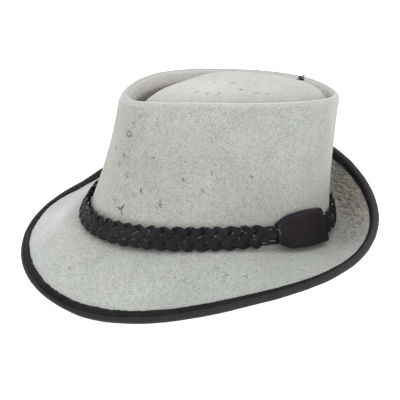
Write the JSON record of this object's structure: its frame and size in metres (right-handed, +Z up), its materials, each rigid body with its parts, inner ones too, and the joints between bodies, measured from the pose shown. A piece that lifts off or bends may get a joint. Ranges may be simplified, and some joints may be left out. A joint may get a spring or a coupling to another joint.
{
  "type": "trilby hat",
  "caption": "Suede trilby with a rounded crown ridge and sunken dome, a brim turned down in front and rolled up behind, a bound edge and a plaited leather band with a sleeve keeper.",
  "frame": {"origin": "middle of the bounding box seen from above, at the level of the surface that the hat lies on", "axes": "+Z up, -Y to the front of the hat, +X to the wearer's left"},
  "size_m": [0.296, 0.2984, 0.1373],
  "materials": {
    "crown_suede": "pale grey-green suede, napped",
    "brim_suede": "pale grey-green suede, napped",
    "binding_leather": "black-brown leather, soft sheen",
    "plait_leather": "black leather lace, soft sheen",
    "keeper_leather": "smooth black leather"
  },
  "bodies": {
    "root": {"crown": "crown_suede", "brim": "brim_suede", "brim_binding": "binding_leather", "hat_band": "plait_leather", "band_keeper": "keeper_leather"}
  },
  "joints": []
}
